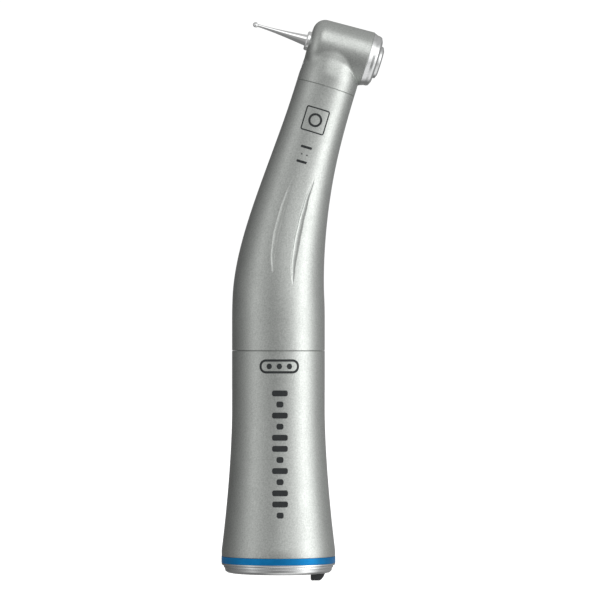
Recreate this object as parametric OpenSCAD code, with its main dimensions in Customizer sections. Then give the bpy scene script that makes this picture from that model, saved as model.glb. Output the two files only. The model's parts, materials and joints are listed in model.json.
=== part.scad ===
// Contra-angle handpiece: a bent 1:1 drive for latch-type burs, with a push-button chuck,
// two bevel gear pairs, six ball bearings and a rear bore that slides over a motor nose.
// Millimetres. The origin is the centre of the rear end face, +Z runs up the handle axis,
// the neck leans towards +X, and the bur points towards -X.

/* [Overall] */
// Angle between the handle axis and the neck axis, degrees
bend_angle = 17; // [16:0.5:18]
// Height at which the two axes cross
bend_height = 58.7; // [58.5:0.1:59.3]
// Distance along the neck from that crossing to the centre of the head
neck_length = 35.9; // [35.5:0.1:36.5]

/* [Handle] */
// Radius of the handle where the grip meets the rear sleeve
handle_r = 8.25; // [8.2:0.05:8.5]
// Radius at the flared rear end
rear_r = 10.1; // [10:0.05:10.4]
// Height of the seam between the rear sleeve and the grip
seam_z = 39.5; // [39:0.5:40]
// Height at which the rear flare starts
flare_z = 29; // [26:0.5:32]
// Radius of the neck where it meets the head
neck_r = 5.32; // [5.25:0.01:5.5]
// Distance from the head's centre to the neck seam
neck_seam = 7.1; // [7:0.1:7.4]

/* [Grip flutes] */
// Angle of each flute from the side of the grip, degrees
flute_angle = 15.5; // [14:0.5:17]
// Depth of a flute at its middle
flute_depth = 0.24; // [0.1:0.02:0.3]
// Half the width of a flute at its middle, degrees of turn
flute_half_width = 3.4; // [2:0.2:3.6]

/* [Head] */
// Length of the head housing on the bur side of its centre
head_low = 5.2; // [5.2:0.05:5.5]
// Length of the head housing on the cap side of its centre
head_high = 5.5; // [5.5:0.05:5.8]
// Radius of the head at the bur side
head_low_r = 4.5; // [4.4:0.05:4.6]
// Radius of the head at the cap side
head_high_r = 4.95; // [4.85:0.05:5.05]
// Rounding of the bur-side rim
head_round = 2.1; // [1.8:0.1:2.2]

/* [Tool and chuck] */
// Shank radius of a latch-type bur
shank_r = 1.175; // [1.16:0.005:1.18]
// Whole length of the bur
bur_length = 22; // [20:0.5:22]
// Radius of the bur's round head
bur_head_r = 0.5; // [0.4:0.05:0.9]
// Travel of the push button
button_travel = 0.6; // [0.4:0.05:0.6]

/* [Motor coupling] */
// Radius of the main coupling bore
coupling_r = 5; // [4.9:0.05:5.1]
// Travel of the sprung drive dog
dog_travel = 1.5; // [1:0.1:1.6]

/* [Gears] */
// Teeth on each of the two head gears
head_teeth = 12; // [11:1:13]
// Teeth on each of the two bend gears
bend_teeth = 18; // [16:1:20]

/* [Hidden] */
$fn = 64;

titanium = [0.62, 0.64, 0.62];
steel = [0.75, 0.76, 0.78];
dark_steel = [0.12, 0.13, 0.14];
brass = [0.80, 0.68, 0.38];
rubber = [0.10, 0.10, 0.11];
cage_brown = [0.45, 0.30, 0.16];
ring_blue = [0.05, 0.36, 0.72];

// Bearings: [bore radius, outer radius, width, ball radius, balls]
BORE = 0;
OUTER = 1;
WIDTH = 2;
BALL = 3;
BALLS = 4;
top_bearing = [2.0, 3.5, 1.9, 0.4, 9];
lower_bearing = [1.5, 3.0, 1.65, 0.4, 8];
neck_front = [1.5, 3.175, 2.2, 0.5, 7];
neck_rear = [1.5, 3.5, 2.4, 0.55, 7];
drive_front = [2.0, 4.5, 2.5, 0.75, 7];
drive_rear = [2.0, 4.5, 2.5, 0.75, 7];
ball_gap = 0.04;
cage_gap = 0.09;

// Places of the bearings, each the height of its lower face in its own frame
top_bearing_z = 2.87;
lower_bearing_z = -4.42;
floor_z = -4.6;
neck_front_z = neck_length - 5.8;
neck_rear_z = 4.6;
drive_front_z = bend_height - 6.9;
drive_rear_z = 37;

// Gears: the cone distances of the teeth, measured from the point where the axes cross
head_cone = 45;
head_gear_out = 3.4;
head_gear_in = 2.55;
bend_cone = 90 - bend_angle / 2;
bend_gear_out = 3.9;
bend_gear_in = 2.7;
tooth_backlash = 0.07;
pressure_angle = 20;

// Head frame: origin at the head's centre, +Z towards the cap, +X down the neck
spindle_top = 5.4;
bur_tip = -(head_low + 10.5);
bur_tail = bur_tip + bur_length;
nose_end = -(head_low + 0.65);
cap_face = 7.35;
button_face = cap_face + button_travel + 0.1;

// The grip's centre line bends between these two places
bend_before = 10;
bend_after = 20;
grip_wall = 0.75;
neck_bore_r = 4.72;
spigot_r = 4.7;
tube_r = 0.3;
tube_turn = 25;
rear_tube_reach = 6.1;
low_port_z = 12.55;
port_step = 4;
neck_tube_reach = 3.68;

// Rear drive: where the hexagon of the shaft ends, with the dog's travel above it
shaft_tail = 30.1 - dog_travel;
shaft_shoulder = 36.4;
dog_seat = 30;

module head_frame() {
    translate([neck_length * sin(bend_angle), 0, bend_height + neck_length * cos(bend_angle)])
        rotate([0, 90 + bend_angle, 0]) children();
}

module neck_frame() {
    translate([0, 0, bend_height]) rotate([0, bend_angle, 0]) children();
}

module in_head(z) {
    head_frame() translate([0, 0, z]) children();
}

module in_neck(z) {
    neck_frame() translate([0, 0, z]) children();
}

module in_handle(z) {
    translate([0, 0, z]) children();
}

// Inside the head frame: turns +Z to run down the neck
module down_neck() {
    rotate([0, 90, 0]) children();
}

module ring(inner, outer, height) {
    difference() {
        cylinder(r = outer, h = height);
        translate([0, 0, -1]) cylinder(r = inner, h = height + 2);
    }
}

module seal(ring_r, cord_r) {
    rotate_extrude() translate([ring_r, 0]) circle(r = cord_r, $fn = 24);
}

// A tube through a list of rings, each a list of points in the same order, with flat ends
module lofted(rings) {
    n = len(rings[0]);
    m = len(rings);
    polyhedron(
        points = [for (r = rings) for (p = r) p],
        faces = concat(
            [[for (i = [0 : n - 1]) i]],
            [for (j = [0 : m - 2]) for (i = [0 : n - 1])
                [j * n + i, (j + 1) * n + i, (j + 1) * n + (i + 1) % n]],
            [for (j = [0 : m - 2]) for (i = [0 : n - 1])
                [j * n + i, (j + 1) * n + (i + 1) % n, j * n + (i + 1) % n]],
            [[for (i = [n - 1 : -1 : 0]) (m - 1) * n + i]]
        )
    );
}

function unit(v) = v / norm(v);

// One ring of a round cord of radius r at p, square to direction d
function cord_ring(p, d, r, sides) =
    let (u = unit(cross(d, [0, 1, 0.001])), v = unit(cross(d, u)))
    [for (i = [0 : sides - 1]) p + r * (cos(i * 360 / sides) * u + sin(i * 360 / sides) * v)];

function path_direction(path, i) =
    unit(path[min(i + 1, len(path) - 1)] - path[max(i - 1, 0)]);

module cord(path, r, sides) {
    lofted([for (i = [0 : len(path) - 1]) cord_ring(path[i], path_direction(path, i), r, sides)]);
}

// A compression spring standing on z = 0, its end turns closed
module coil_spring(mean_r, wire_r, height, turns) {
    steps = 18;
    count = turns * steps;
    rise = height - 2 * wire_r;
    close = 0.85;
    path = [for (i = [0 : count])
        let (t = i / steps, up = max(0, min(1, (t - close) / (turns - 2 * close))))
        [mean_r * cos(t * 360), mean_r * sin(t * 360), wire_r + up * (rise - 4 * wire_r)
            + 2 * wire_r * min(t / close, 1) + 2 * wire_r * max(0, (t - turns + close) / close)]];
    lofted([for (i = [0 : count]) let (d = path_direction(path, i), t = i / steps * 360,
        u = [cos(t), sin(t), 0], v = unit(cross(d, u)))
        [for (k = [0 : 5]) path[i] + wire_r * (cos(k * 60) * u - sin(k * 60) * v)]]);
}

// ---- Bearings ----

function pitch_r(b) = (b[BORE] + b[OUTER]) / 2;
function land(b) = b[BALL] * 0.62;

module race_groove(b) {
    translate([0, 0, b[WIDTH] / 2])
        rotate_extrude() translate([pitch_r(b), 0]) circle(r = b[BALL] + ball_gap, $fn = 32);
}

module outer_race(b) {
    color(steel) difference() {
        ring(pitch_r(b) + land(b), b[OUTER], b[WIDTH]);
        race_groove(b);
    }
}

module inner_race(b) {
    color(steel) difference() {
        ring(b[BORE], pitch_r(b) - land(b), b[WIDTH]);
        race_groove(b);
    }
}

module balls(b) {
    color(steel) for (i = [0 : b[BALLS] - 1])
        rotate([0, 0, i * 360 / b[BALLS]]) translate([pitch_r(b), 0, b[WIDTH] / 2])
            sphere(r = b[BALL], $fn = 24);
}

module cage(b) {
    half = land(b) - cage_gap;
    tall = min(b[WIDTH] * 0.8, b[BALL] * 2.9);
    color(cage_brown) difference() {
        translate([0, 0, (b[WIDTH] - tall) / 2]) ring(pitch_r(b) - half, pitch_r(b) + half, tall);
        for (i = [0 : b[BALLS] - 1]) rotate([0, 0, i * 360 / b[BALLS]])
            translate([pitch_r(b) - 1, 0, b[WIDTH] / 2]) rotate([0, 90, 0])
                cylinder(r = b[BALL] + 0.05, h = 2, $fn = 24);
    }
}

// ---- Bevel gears ----

function sphere_point(r, polar, turn) =
    r * [sin(polar) * cos(turn), sin(polar) * sin(turn), cos(polar)];
function involute(a) = tan(a) * 180 / PI - a;

// Half the width of a tooth, in degrees, at radius rho of the equivalent spur gear
function half_tooth(rho, pitch, base, teeth, share) =
    90 / teeth * share + involute(pressure_angle) - involute(acos(min(1, base / max(rho, base))));

// One tooth as [turn, polar] pairs, from root to tip to root
function tooth_profile(teeth, cone, out) =
    let (
        module_size = 2 * out * sin(cone) / teeth,
        pitch = out * tan(cone),
        base = pitch * cos(pressure_angle),
        virtual_teeth = teeth / cos(cone),
        share = 1 - tooth_backlash / (PI * module_size / 2),
        tip = pitch + 0.85 * module_size,
        root = pitch - 1.12 * module_size,
        up = [for (k = [0 : 3]) root + (tip - root) * [0, 0.35, 0.7, 1][k]],
        side = [for (rho = up) [half_tooth(rho, pitch, base, virtual_teeth, share) / cos(cone),
            cone + (rho - pitch) / out * 180 / PI]]
    )
    concat([for (s = side) [-s[0], s[1]]], [for (k = [3 : -1 : 0]) side[k]]);

// A ring of teeth whose apex is the origin and whose body lies towards +Z
module bevel_teeth(teeth, cone, out, inner, back_z, front_z, phase) {
    profile = tooth_profile(teeth, cone, out);
    n = teeth * len(profile);
    loop = [for (t = [0 : teeth - 1]) for (p = profile) [p[0] + (t + phase) * 360 / teeth, p[1]]];
    polyhedron(
        points = concat(
            [for (p = loop) sphere_point(out, p[1], p[0])],
            [for (p = loop) sphere_point(inner, p[1], p[0])],
            [[0, 0, back_z], [0, 0, front_z]]
        ),
        faces = concat(
            [for (i = [0 : n - 1]) [i, n + (i + 1) % n, n + i]],
            [for (i = [0 : n - 1]) [i, (i + 1) % n, n + (i + 1) % n]],
            [for (i = [0 : n - 1]) [2 * n, (i + 1) % n, i]],
            [for (i = [0 : n - 1]) [2 * n + 1, n + i, n + (i + 1) % n]]
        )
    );
}

// A head gear with its bore and a plain hub behind the teeth
module head_gear(bore, hub_r, hub_z, phase) {
    back = head_gear_out * cos(head_cone - 5);
    front = head_gear_in * cos(head_cone - 6);
    difference() {
        union() {
            bevel_teeth(head_teeth, head_cone, head_gear_out, head_gear_in, back, front, phase);
            translate([0, 0, back - 0.25]) cylinder(r = hub_r, h = hub_z - back + 0.25);
        }
        translate([0, 0, -1]) cylinder(r = bore, h = 8);
        // flat back
        translate([0, 0, hub_z]) cylinder(r = head_gear_out, h = 3);
    }
}

// A bend gear: nearly flat, with its teeth on its face
module bend_gear(bore, hub_z, phase) {
    difference() {
        union() {
            bevel_teeth(bend_teeth, bend_cone, bend_gear_out, bend_gear_in, 1.9, 0.75, phase);
            translate([0, 0, 0.9]) cylinder(r = 2.3, h = hub_z - 0.9);
        }
        translate([0, 0, -1]) cylinder(r = bore, h = 8);
    }
}

// ---- Head ----

// The head's outline on the bur side, as [radius, height], up to its largest rounded edge
function barrel_r(z) = head_low_r + (head_high_r - head_low_r) * (z + head_low) / (head_low + head_high);
function barrel_foot_points() =
    let (c = [barrel_r(head_round - head_low) - head_round, head_round - head_low])
    concat([[0, -head_low]], [for (a = [-90 : 15 : 0]) c + head_round * [cos(a), sin(a)]]);

module barrel() {
    rotate_extrude() polygon(concat(barrel_foot_points(),
        [[head_high_r, head_high - 0.12], [head_high_r - 0.1, head_high], [0, head_high]]));
}

// The lower half of the barrel flows into the round neck stub
module neck_blend() {
    inset = 0.03;
    hull() {
        rotate_extrude($fn = 48) polygon(concat(
            [for (p = barrel_foot_points()) [max(0, p[0] - inset), p[1] + inset]],
            [[barrel_r(0.4) - inset, 0.4], [0, 0.4]]));
        translate([3.6, 0, 0.2]) down_neck() cylinder(r = neck_r - 0.02, h = 0.4);
        down_neck() translate([0, 0, neck_seam - 0.6]) cylinder(r = neck_r, h = 0.6);
    }
}

// Two side by side channels for the spray tubes, on the bur side of the neck
module at_spray_tubes(reach) {
    for (side = [-1, 1]) rotate([0, 0, side * tube_turn]) translate([reach, 0, 0]) children();
}

module head_housing() {
    color(titanium) head_frame() difference() {
        union() {
            barrel();
            neck_blend();
            down_neck() translate([0, 0, neck_seam - 0.5]) cylinder(r = spigot_r, h = 3.4);
        }
        // stepped cartridge bore, open to the cap
        translate([0, 0, floor_z]) cylinder(r = lower_bearing[OUTER], h = 12);
        translate([0, 0, top_bearing_z - 0.02]) cylinder(r = top_bearing[OUTER], h = 8);
        translate([0, 0, 4.78]) cylinder(r = 3.9, h = 3);
        translate([0, 0, -head_low - 1]) cylinder(r = 1.88, h = 3);
        // neck bore
        down_neck() cylinder(r = neck_front[OUTER], h = 12);
        // groove of the neck seal
        down_neck() translate([0, 0, neck_seam + 1.3]) ring(4.12, 5, 0.6);
        // spray channels and the seat of the nozzle
        down_neck() at_spray_tubes(neck_tube_reach) translate([0, 0, 4.3])
            cylinder(r = tube_r, h = 8, $fn = 24);
        translate([4.3, 0, -head_low - 1]) cylinder(r = 0.8, h = 2.1, $fn = 32);
        translate([4.3, 0, -head_low]) cylinder(r = 0.55, h = 1.75, $fn = 32);
        for (side = [-1, 1]) translate([4.4, 0, -3.72]) rotate([side * -90, 0, 0])
            cylinder(r = 0.25, h = 1.6, $fn = 24);
    }
}

module head_cap() {
    outer = [[head_high_r - 0.08, head_high], [head_high_r - 0.13, head_high + 0.16], [4.6, 6.24], [4.56, 6.66],
        [4.42, 7.02], [3.7, cap_face], [3.2, cap_face]];
    inner = [[3.2, 6.98], [3.45, 6.98], [3.45, 5.92], [2.12, 5.92], [2.12, 5.45],
        [3.06, 5.45], [3.06, 4.79], [3.88, 4.79], [3.88, head_high]];
    color(steel) head_frame() difference() {
        rotate_extrude() polygon(concat(outer, inner));
        translate([0, 0, 5.02]) ring(3.58, 4, 0.34);
    }
}

module push_button() {
    color(steel) head_frame() rotate_extrude()
        polygon([[0, button_face], [2.25, button_face], [2.84, button_face - 0.25], [2.97, cap_face],
            [2.97, 6.96], [3.38, 6.96], [3.38, 6.56], [2.7, 6.56], [2.7, 7.5], [0, 7.5]]);
}

module button_spring() {
    color(steel) head_frame() translate([0, 0, 5.93]) coil_spring(2.4, 0.1, 1.56, 3);
}

module release_plunger() {
    color(steel) head_frame() rotate_extrude()
        polygon([[0, 6.93], [0.9, 6.93], [1.2, 7.12], [1.9, 7.12], [1.9, 7.3], [1.5, 7.48], [0, 7.48]]);
}

module chuck_spindle() {
    color(steel) head_frame() difference() {
        rotate_extrude() polygon([[0, nose_end], [1.42, nose_end], [1.42, -4.55], [1.5, -4.55], [1.5, 0.5],
            [1.45, 0.6], [1.45, 2.62], [2.2, 2.62], [2.2, top_bearing_z], [2.0, top_bearing_z],
            [2.0, spindle_top], [0, spindle_top]]);
        translate([0, 0, -8]) cylinder(r = shank_r + 0.015, h = 16);
        translate([0, 0, 2.8]) cylinder(r = 1.62, h = 5);
        translate([0, 0, 0.8]) cylinder(r = 1.3, h = 3);
    }
}

// A slotted sleeve: a driving flat at its foot, and spring fingers with nibs that hold the groove of the bur
module latch_collet() {
    nib_low = bur_tail - 2.3;
    color(steel) head_frame() difference() {
        union() {
            difference() {
                translate([0, 0, 0.82]) cylinder(r = 1.29, h = 3);
                translate([0, 0, 0]) cylinder(r = shank_r + 0.02, h = 5);
            }
            difference() {
                translate([0, 0, 2.82]) cylinder(r = 1.6, h = 4.08);
                translate([0, 0, 2]) cylinder(r = shank_r + 0.02, h = 6);
                translate([0, 0, 5.8]) cylinder(r1 = shank_r, r2 = 1.45, h = 1.2);
                translate([0, 0, 3.4]) ring(1.5, 2, 1.4);
            }
            // the driving flat
            intersection() {
                translate([0.6, -0.9, 1.3]) cube([0.62, 1.8, 1.5]);
                cylinder(r = 1.28, h = 5);
            }
            // nibs
            translate([0, 0, nib_low]) ring(0.86, 1.3, 0.7);
        }
        // slots between the fingers
        for (a = [30, 90, 150]) rotate([0, 0, a]) translate([-2, -0.22, 3.2]) cube([4, 0.44, 5]);
    }
}

module spindle_gear() {
    color(brass) head_frame() head_gear(1.46, 1.9, 2.61, 0.5);
}

module chuck_nose_ring() {
    color(steel) head_frame() rotate_extrude() polygon([[1.43, nose_end], [1.55, nose_end],
        [1.73, nose_end + 0.18], [1.73, -4.85], [1.43, -4.85]]);
}

module bur() {
    flat = 0.575;
    groove_low = bur_tail - 2.4;
    neck_top = -head_low - 0.45;
    color(steel) head_frame() difference() {
        union() {
            rotate_extrude() polygon([[0, bur_tip + bur_head_r], [0.3, bur_tip + bur_head_r],
                [0.26, bur_tip + 1.1], [0.34, bur_tip + 3], [0.5, bur_tip + 5.2], [0.75, bur_tip + 7.8],
                [1.02, neck_top], [shank_r, neck_top + 0.15], [shank_r, groove_low], [0.8, groove_low],
                [0.8, groove_low + 0.9], [shank_r, groove_low + 0.9], [shank_r, bur_tail - 0.2],
                [shank_r - 0.2, bur_tail], [0, bur_tail]]);
            translate([0, 0, bur_tip + bur_head_r]) sphere(r = bur_head_r, $fn = 32);
        }
        // the driving flat of the latch shank
        translate([flat, -2, bur_tail - 5.1]) cube([2, 4, 6]);
        // gashes between the blades of the round head
        for (a = [0 : 45 : 315]) rotate([0, 0, a]) translate([bur_head_r + 0.06, 0, bur_tip + bur_head_r])
            rotate([18, 0, 0]) translate([0, 0, -0.6]) cylinder(r = 0.14, h = 1.2, $fn = 13);
    }
}

module cap_seal_ring() {
    color(rubber) head_frame() translate([0, 0, 5.19]) seal(3.74, 0.15);
}

module head_wave_washer() {
    // three waves between the floor of the housing and the outer race of the lower bearing
    n = 36;
    rings = [for (i = [0 : n]) let (a = i * 360 / n, z = 0.035 * (1 + sin(3 * a)))
        [for (p = [[2.3, 0], [2.9, 0], [2.9, 0.1], [2.3, 0.1]]) [p[0] * cos(a), p[0] * sin(a), z + p[1]]]];
    points = [for (i = [0 : n - 1]) for (p = rings[i]) p];
    color(steel) head_frame() translate([0, 0, floor_z + 0.005])
        polyhedron(points = points, faces = concat(
            [for (i = [0 : n - 1]) for (k = [0 : 3])
                [i * 4 + k, i * 4 + (k + 1) % 4, ((i + 1) % n) * 4 + k]],
            [for (i = [0 : n - 1]) for (k = [0 : 3])
                [i * 4 + (k + 1) % 4, ((i + 1) % n) * 4 + (k + 1) % 4, ((i + 1) % n) * 4 + k]]));
}

module spray_nozzle() {
    color(steel) head_frame() translate([4.3, 0, -head_low]) difference() {
        translate([0, 0, -0.02]) cylinder(r = 0.79, h = 1.0, $fn = 32);
        for (side = [-1, 1]) translate([0, side * 0.32, -1]) cylinder(r = 0.14, h = 3, $fn = 16);
    }
}

// ---- Neck ----

module neck_shaft() {
    color(steel) neck_frame() rotate_extrude() polygon([[0, 0.8], [1.3, 0.8], [1.3, 3.3], [1.5, 3.3],
        [1.5, 7.3], [1.75, 7.3], [1.75, neck_front_z - 0.3], [1.5, neck_front_z - 0.3], [1.5, neck_front_z + 2.4],
        [1.2, neck_front_z + 2.4], [1.2, neck_length - 2.1], [0, neck_length - 2.1]]);
}

module head_drive_gear() {
    color(brass) head_frame() down_neck() head_gear(1.21, 1.9, 3.38, head_teeth / 2);
}

module neck_input_gear() {
    color(brass) neck_frame() bend_gear(1.31, 3.25, 0);
}

// The sleeve between the two neck bearings, which also spaces their outer races
module neck_tube() {
    rear = neck_rear_z;
    front = neck_front_z;
    color(steel) neck_frame() rotate_extrude() polygon([[3.52, rear - 0.4], [4.0, rear - 0.4],
        [4.0, rear + 3.4], [3.3, rear + 4.1], [3.3, front - 4.4], [3.16, front - 4.3],
        [3.16, front - 0.02], [2.5, front - 0.02], [2.5, rear + 2.42], [3.52, rear + 2.42]]);
}

module neck_seal_ring() {
    color(rubber) head_frame() down_neck() translate([0, 0, neck_seam + 1.6]) seal(4.42, 0.29);
}

// ---- Handle shells ----

function ease(u) = let (c = max(0, min(1, u))) 3 * c * c - 2 * c * c * c;

// Radius of the grip where its centre line is at height z
function grip_r(z) = neck_r + (handle_r - neck_r) * ease(pow(max(0, min(1, (87 - z) / 41.5)), 1.2));

// Centre line of the grip: straight, then a smooth bend, then straight. Each place is [x, z, lean].
function on_handle(z) = [0, z, 0];
function on_neck(l) = [l * sin(bend_angle), bend_height + l * cos(bend_angle), bend_angle];
function on_bend(t) =
    let (p = on_neck(bend_after), dx = t * bend_after * sin(bend_angle),
        dz = (1 - t) * bend_before + t * bend_after * cos(bend_angle))
    [t * t * p[0], (1 - t) * (1 - t) * (bend_height - bend_before) + 2 * t * (1 - t) * bend_height + t * t * p[1],
        atan2(dx, dz)];

function grip_point(c, turn, r) =
    [c[0] + r * cos(turn) * cos(c[2]), r * sin(turn), c[1] - r * cos(turn) * sin(c[2])];

// How deep a flute is at height z, from 0 at its ends to 1
flute_low = 51;
flute_high = 70;
function flute_share(z) = let (u = (z - flute_low) / (flute_high - flute_low))
    (u <= 0 || u >= 1) ? 0 : pow(sin(180 * u), 0.7);

// The columns of the grip's surface at height z, each [turn, depth below the plain surface]
function flute_columns(centre, z) =
    let (w = 0.25 + flute_half_width * flute_share(z), d = flute_depth * flute_share(z))
    [[centre - w, 0], [centre - w / 2, d * 0.75], [centre, d], [centre + w / 2, d * 0.75], [centre + w, 0]];
function half_columns(z, start) = concat(
    [for (a = [0, 12, 24, 36, 48, 58, 66]) [start + a, 0]],
    flute_columns(start + 90 - flute_angle, z),
    [for (a = [82, 90, 98]) [start + a, 0]],
    flute_columns(start + 90 + flute_angle, z),
    [for (a = [114, 122, 132, 144, 156, 168]) [start + a, 0]]);
function grip_ring(c) =
    [for (k = concat(half_columns(c[1], 0), half_columns(c[1], 180))) grip_point(c, k[0], grip_r(c[1]) - k[1])];

module grip_outer() {
    places = concat([for (z = [seam_z, seam_z + 5]) on_handle(z)], [for (t = [0 : 0.045 : 0.99]) on_bend(t)],
        [for (l = [bend_after, bend_after + 4, neck_length - neck_seam]) on_neck(l)]);
    lofted([for (c = places) grip_ring(c)]);
}

module grip_hollow() {
    places = concat([for (z = [seam_z + 2.5, seam_z + 6]) on_handle(z)], [for (t = [0 : 0.1 : 0.95]) on_bend(t)],
        [for (l = [bend_after, neck_length - neck_seam - 4]) on_neck(l)]);
    lofted([for (c = places) [for (a = [0 : 15 : 345]) grip_point(c, a, grip_r(c[1]) - grip_wall)]]);
}

module front_grip_shell() {
    color(titanium) difference() {
        union() {
            grip_outer();
            translate([0, 0, seam_z - 4]) cylinder(r = 7.38, h = 4);
        }
        grip_hollow();
        translate([0, 0, seam_z - 5]) cylinder(r = 6.75, h = 5.5);
        translate([0, 0, seam_z]) cylinder(r = 7.3, h = 3.5);
        neck_frame() translate([0, 0, neck_length - neck_seam - 5]) cylinder(r = neck_bore_r, h = 6);
        translate([0, 0, seam_z - 2.23]) ring(6.98, 8, 0.46);
    }
}

function sleeve_outer_r(z) = handle_r + (rear_r - handle_r) * pow(max(0, (flare_z - z) / (flare_z - 4)), 1.67);

module rear_sleeve() {
    steps = 18;
    flare = [for (i = [0 : steps]) let (z = 4 + (flare_z - 4) * i / steps) [sleeve_outer_r(z), z]];
    color(titanium) rotate_extrude() polygon(concat([[9.2, 3], [rear_r, 3]], flare, [[handle_r, seam_z - 0.08],
        [handle_r - 0.08, seam_z], [7.4, seam_z], [7.4, 22], [8.6, 7], [9.2, 6.4]]));
}

module colour_ring() {
    color(ring_blue) translate([0, 0, 1.78]) ring(9.2, rear_r + 0.03, 1.21);
}

module end_ring() {
    color(steel) difference() {
        rotate_extrude() polygon([[7.05, 0], [8.5, 0], [8.95, 0.07], [9.3, 0.25], [9.5, 0.52], [9.54, 0.95],
            [9.72, 1.0], [9.74, 1.36], [10.05, 1.42], [rear_r, 1.5], [rear_r, 1.78], [9.19, 1.78], [9.19, 6.2],
            [8.5, 6.2], [8.5, 2.2], [7.05, 2.2]]);
        // slot that the lug stands in
        translate([5.7, -1.45, -1]) cube([2.62, 2.9, 2.6]);
    }
}

module coupling_lug() {
    color(dark_steel) intersection() {
        translate([5.78, -1.4, -1.35]) cube([2.5, 2.8, 2.93]);
        translate([0, 0, -1.35]) cylinder(r1 = 7.75, r2 = 8.35, h = 1.2);
    }
    color(dark_steel) translate([5.78, -1.4, -0.15]) cube([2.5, 2.8, 1.73]);
}

module coupling_tube() {
    color(steel) difference() {
        rotate_extrude() polygon([[6.2, 1.6], [7.04, 1.6], [7.04, 2.2], [7.9, 2.2], [7.9, 3.2], [6.9, 3.6],
            [6.9, 9], [6.6, 9.6], [6.6, 19], [5.6, 19.5], [5.6, 36.9], [3.3, 36.9], [3.3, 35.4], [4.4, 35.4],
            [4.4, 26], [coupling_r, 26], [coupling_r, 8], [6.2, 7.2]]);
        // groove for the retaining spring of the motor nose
        translate([0, 0, 5]) rotate_extrude() translate([6.2, 0]) circle(r = 0.4, $fn = 24);
        // spray ports and the seats of the tubes
        for (s = [0, 1]) rotate([0, 0, 180 + (2 * s - 1) * tube_turn]) {
            translate([4, 0, low_port_z + 0.45 + port_step * s]) rotate([0, 90, 0])
                cylinder(r = 0.24, h = 2.1, $fn = 24);
            translate([rear_tube_reach, 0, low_port_z + port_step * s]) cylinder(r = tube_r, h = 8, $fn = 24);
        }
    }
}

module sleeve_seal_ring() {
    color(rubber) translate([0, 0, seam_z - 2]) seal(7.19, 0.2);
}

// ---- Spray tubes ----

function from_neck(p) = [p[0] * cos(bend_angle) + p[2] * sin(bend_angle), p[1],
    bend_height - p[0] * sin(bend_angle) + p[2] * cos(bend_angle)];

// The way of one tube, from its port in the coupling to the nozzle; side is -1 or 1
function tube_way(side, start) =
    let (
        rx = -rear_tube_reach * cos(tube_turn), ry = side * rear_tube_reach * sin(tube_turn),
        nx = -neck_tube_reach * cos(tube_turn), ny = side * neck_tube_reach * sin(tube_turn)
    )
    concat(
        [for (z = [start, start + 5, 34, 42, 47]) [rx, ry, z]],
        [[rx + 0.05, ry, 51], [rx + 0.2, ry, 55]],
        [for (p = [[-4.72, ry * 0.9, -1], [-4.45, ry * 0.84, 3], [-4.42, ry * 0.8, 7], [-4.3, ry * 0.77, 10],
            [-4.05, ny * 1.05, 13], [nx, ny, 16], [nx, ny, 22], [nx, ny, neck_length - 5.2]]) from_neck(p)]
    );

module water_tube() {
    color(steel) cord(tube_way(1, low_port_z + 0.05), tube_r - 0.02, 10);
}

module air_tube() {
    color(steel) cord(tube_way(-1, low_port_z + port_step + 0.05), tube_r - 0.02, 10);
}

// ---- Rear drive ----

module shaft_carrier() {
    low = drive_rear_z;
    high = drive_front_z + drive_front[WIDTH];
    color(steel) difference() {
        union() {
            rotate_extrude() polygon([[4.5, low - 0.02], [5.6, low - 0.02], [5.6, high + 0.6],
                [4.7, high + 0.6],
                [4.7, high + 0.02], [4.5, high + 0.02], [4.5, drive_front_z], [4.0, drive_front_z],
                [4.0, low + 2.52], [4.5, low + 2.52]]);
            translate([0, 0, seam_z + 0.6]) ring(5.5, 7.28, 2);
        }
        for (side = [-1, 1]) rotate([0, 0, 180 + side * tube_turn]) translate([rear_tube_reach, 0, seam_z])
            cylinder(r = tube_r + 0.03, h = 4, $fn = 24);
    }
}

module drive_shaft() {
    color(steel) {
        rotate_extrude() polygon([[0, shaft_shoulder], [3.05, shaft_shoulder], [3.05, 36.98], [2.0, 36.98],
            [2.0, 39.7], [2.5, 39.7], [2.5, drive_front_z - 0.02], [2.0, drive_front_z - 0.02],
            [2.0, bend_height - 3.8], [1.3, bend_height - 3.8], [1.3, bend_height - 0.8], [0, bend_height - 0.8]]);
        translate([0, 0, shaft_tail]) cylinder(r = 1.6, h = shaft_shoulder - shaft_tail, $fn = 6);
        translate([0, 0, shaft_tail - 0.8]) cylinder(r = 1, h = 1);
    }
}

module drive_output_gear() {
    color(brass) translate([0, 0, bend_height]) mirror([0, 0, 1]) bend_gear(1.31, 3.75, 0.5);
}

module shaft_retaining_ring() {
    high = drive_front_z + drive_front[WIDTH];
    color(steel) translate([0, 0, high + 0.04]) difference() {
        ring(3.9, 4.69, 0.4);
        translate([0, -0.7, -1]) cube([8, 1.4, 3]);
    }
}

module drive_dog() {
    color(steel) difference() {
        union() {
            translate([0, 0, dog_seat - 1.6]) cylinder(r = 3.4, h = 1.6);
            translate([0, 0, dog_seat]) cylinder(r = 2.35, h = 2.4);
            // two claws that take the dog of the motor
            translate([0, 0, dog_seat - 3.4]) intersection() {
                ring(1.7, 3.4, 2);
                translate([-5, -0.9, 0]) cube([10, 1.8, 3]);
            }
        }
        translate([0, 0, dog_seat - 2]) cylinder(r = 1.64, h = 8, $fn = 6);
    }
}

// Snap ring that keeps the dog on the end of the shaft
module dog_clip() {
    color(steel) translate([0, 0, shaft_tail - 0.65]) difference() {
        ring(1.01, 1.62, 0.4);
        translate([0, -0.5, -1]) cube([3, 1, 3]);
    }
}

module dog_spring() {
    color(steel) translate([0, 0, dog_seat + 0.02])
        coil_spring(2.78, 0.22, shaft_shoulder - dog_seat - 0.1, 6);
}

// ---- The nodes ----

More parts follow.
